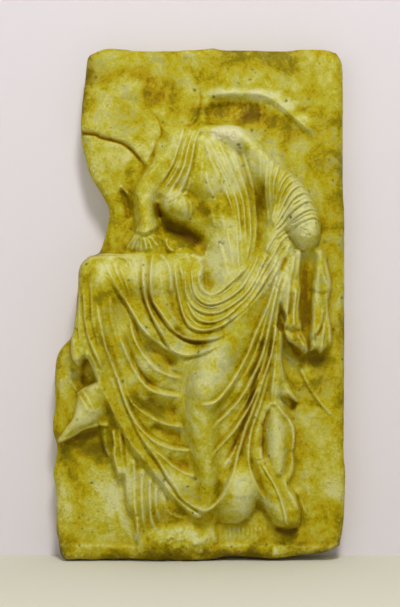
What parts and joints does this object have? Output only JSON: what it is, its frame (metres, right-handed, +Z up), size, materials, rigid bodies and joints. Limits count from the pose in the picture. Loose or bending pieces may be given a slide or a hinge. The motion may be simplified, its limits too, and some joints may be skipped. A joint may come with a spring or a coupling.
{
  "type": "marble relief plaque",
  "caption": "Upright marble slab carved in relief with a seated, headless figure in heavy drapery; broken outline, flat back that rests on a wall.",
  "frame": {"origin": "middle of the flat back, in the plane that lies on the wall", "axes": "+Y out of the back into the wall, +Z up along the slab, +X to the right as a viewer in front sees it; the carving faces -Y"},
  "size_m": [0.3512, 0.0936, 0.6161],
  "materials": {
    "marble": "carved and worn marble with a yellow patina"
  },
  "bodies": {
    "root": {"relief_plaque": "marble"}
  },
  "joints": []
}
